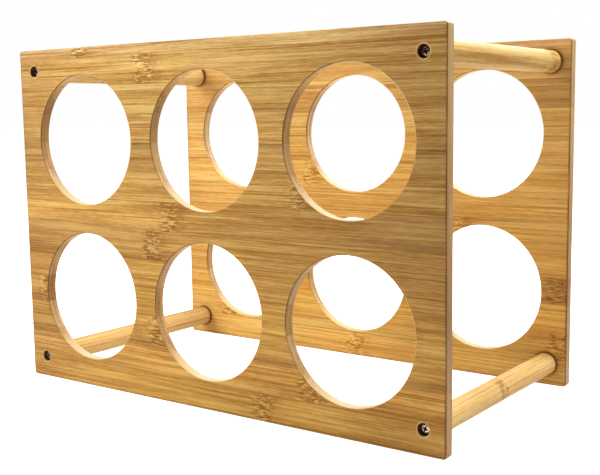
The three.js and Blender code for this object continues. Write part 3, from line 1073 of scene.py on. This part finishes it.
def threaded(radius, y, angle):
    """The core's radius with the thread's ridge winding round it, tapering to the point."""
    if y < 0 or radius != SCREW_CORE_RADIUS:
        return radius
    taper = min(1.0, max(POINT_BLUNTNESS, (SCREW_SHANK_LENGTH - y) / SCREW_POINT_LENGTH))
    phase = (y / THREAD_PITCH - angle / (2 * math.pi)) % 1.0
    ridge = max(0.0, 1.0 - abs(phase - 0.5) / THREAD_RIDGE_SHARE)
    rise = min(1.0, max(0.0, (y - THREAD_START) / THREAD_PITCH))
    return taper * (radius + (THREAD_RADIUS - radius) * ridge * rise)


def screw_template(materials):
    """A Phillips pan-head wood screw, seated at y = 0, head towards -Y."""
    core = []
    for k in range(THREAD_RINGS + 1):
        core.append((SCREW_CORE_RADIUS, SCREW_SHANK_LENGTH * k / THREAD_RINGS * LAST_THREAD_RING))
    bm = bmesh.new()
    turned(bm, head_profile() + core + [(0, SCREW_SHANK_LENGTH)], SCREW_SIDES, wave=threaded)
    body = mesh_object("screw_template", bm, materials)
    cutter = recess_cutter()
    recess = body.modifiers.new("recess", "BOOLEAN")
    recess.operation = "DIFFERENCE"
    recess.solver = "EXACT"
    recess.object = cutter
    graph = bpy.context.evaluated_depsgraph_get()
    mesh = bpy.data.meshes.new_from_object(body.evaluated_get(graph))
    for used in (body, cutter):
        bpy.data.objects.remove(used)
    mark_recess(mesh)
    return mesh


def make_screw(node, template):
    low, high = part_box(node)
    front = node.startswith("front")
    x, z = node_axis(node)
    seat = low.y + SCREW_HEAD_HEIGHT if front else high.y - SCREW_HEAD_HEIGHT
    turn = Matrix.Rotation(math.radians(SCREW_TURNS[node]), 4, "Y")
    face = Matrix.Identity(4) if front else Matrix.Rotation(math.pi, 4, "Z")
    mesh = template.copy()
    mesh.transform(Matrix.Translation((x, seat, z)) @ face @ turn)
    piece = place_object(node.replace("screw", "phillips_screw"), mesh)
    settle(piece, node)


# ---------------------------------------------------------------- the rack
for name, node, outward, strips, palette, seed in BOARDS:
    face = board_material(name, strips, palette, seed)
    rim = board_material(name + "_rim", strips, palette, seed, (palette["rim"], RIM_COVER))
    # The bore material covers the counterbore walls with scorch-darkened colour deepened as painted
    # shade.
    bore = board_material(name + "_bore", strips, palette, seed, (palette["scorch_and_shade"], BORE_SCORCH_AND_SHADE_COVER))
    make_board(name, node, outward, [face, rim, bore])

for number, (node, (knuckle_mm, dark_side_deg)) in enumerate(DOWELS.items()):
    rod_name = node.replace("dowel", "bamboo_rod")
    rod = dowel_material(rod_name, knuckle_mm, dark_side_deg, DOWEL_PALETTE, number + 1.0)
    make_dowel("bamboo_" + node, node, rod)

plating = screw_material("screw_dark_bronze", *PLATING_COLOURS)
# painted shade inside each screw's cross recess
recess_shade = screw_material("screw_recess_painted_shade", *RECESS_SHADE_COLOURS)
screw_mesh = screw_template([plating, recess_shade])
for node in SCREW_TURNS:
    make_screw(node, screw_mesh)


# ---------------------------------------------------------------- stage, light, camera
def floor_material():
    """Pale and matt, lifted to the white of the background for the camera and for gloss nearby."""
    s = Shader("pale_floor")
    place = s.node("ShaderNodeTexCoord").outputs["Object"]
    cloud = s.noise(place, FLOOR_CLOUD_FINENESS, detail=3.0)
    colour = s.mix(cloud, *FLOOR_COLOURS)
    material = s.finish(colour, FLOOR_ROUGHNESS, cloud, FLOOR_GRAIN_DEPTH)
    surface = material.node_tree.nodes["Principled BSDF"]
    surface.inputs["Emission Color"].default_value = WHITE
    rays = s.node("ShaderNodeLightPath")
    reach = s.node("ShaderNodeVectorMath", {0: place}, operation="LENGTH").outputs["Value"]
    near_rack = s.between(reach, GLEAM_FADES_AT, GLEAM_REACHES)
    gleam = s.math("MULTIPLY", rays.outputs["Is Glossy Ray"], near_rack)
    seen = s.math("MAXIMUM", rays.outputs["Is Camera Ray"], gleam)
    s.feed(surface.inputs["Emission Strength"], s.math("MULTIPLY", seen, FLOOR_LIFT))
    return material


def make_floor():
    bm = bmesh.new()
    bmesh.ops.create_grid(bm, x_segments=8, y_segments=8, size=FLOOR_HALF_SIZE)
    floor = mesh_object("floor", bm, [floor_material()])
    floor.location.z = cad_bounds[0].z - FLOOR_GAP


def add_softbox(name, place, size, watts, mirrored):
    light = bpy.data.lights.new(name, "AREA")
    light.shape = "RECTANGLE"
    light.size, light.size_y = size
    light.energy = watts
    lamp = place_object(name, light)
    rack_middle = (cad_bounds[0] + cad_bounds[1]) / 2
    lamp.location = place
    lamp.rotation_euler = (rack_middle - Vector(place)).to_track_quat("-Z", "Y").to_euler()
    lamp.visible_glossy = mirrored


def world_light(tree):
    """The world as a light: dim at the front left and brighter at the back right."""
    felt = tree.nodes.new("ShaderNodeBackground")
    felt.inputs[0].default_value = WHITE
    direction = tree.nodes.new("ShaderNodeTexCoord")
    toward = tree.nodes.new("ShaderNodeVectorMath")
    toward.operation = "DOT_PRODUCT"
    toward.inputs[1].default_value = Vector(WORLD_BRIGHT_SIDE).normalized()
    strength = tree.nodes.new("ShaderNodeMapRange")
    strength.interpolation_type = "SMOOTHSTEP"
    for index, value in enumerate((-WORLD_EASING, WORLD_EASING, WORLD_DIM, WORLD_BRIGHT), 1):
        strength.inputs[index].default_value = value
    tree.links.new(direction.outputs["Generated"], toward.inputs[0])
    tree.links.new(toward.outputs["Value"], strength.inputs[0])
    tree.links.new(strength.outputs[0], felt.inputs[1])
    return felt


def light_world():
    """White to the eye, whatever it gives as a light."""
    world = bpy.data.worlds.new("studio")
    world.use_nodes = True
    tree = world.node_tree
    tree.nodes.clear()
    seen = tree.nodes.new("ShaderNodeBackground")
    seen.inputs[0].default_value = WHITE
    felt = world_light(tree)
    path = tree.nodes.new("ShaderNodeLightPath")
    blend = tree.nodes.new("ShaderNodeMixShader")
    output = tree.nodes.new("ShaderNodeOutputWorld")
    tree.links.new(path.outputs["Is Camera Ray"], blend.inputs[0])
    tree.links.new(felt.outputs[0], blend.inputs[1])
    tree.links.new(seen.outputs[0], blend.inputs[2])
    tree.links.new(blend.outputs[0], output.inputs[0])
    bpy.context.scene.world = world


def make_camera():
    data = bpy.data.cameras.new("camera")
    data.lens = CAMERA_LENS_MM
    data.sensor_width = CAMERA_SENSOR_MM
    camera = place_object("camera", data)
    turn = Matrix.Rotation(math.radians(CAMERA_YAW), 4, "Z")
    turn @= Matrix.Rotation(math.pi / 2 + math.radians(CAMERA_PITCH), 4, "X")
    turn @= Matrix.Rotation(math.radians(CAMERA_ROLL), 4, "Z")
    camera.matrix_world = Matrix.Translation(CAMERA_PLACE) @ turn
    bpy.context.scene.camera = camera


make_floor()
light_world()
for softbox in SOFTBOXES:
    add_softbox(*softbox)
make_camera()
bpy.context.scene.view_settings.view_transform = "Standard"
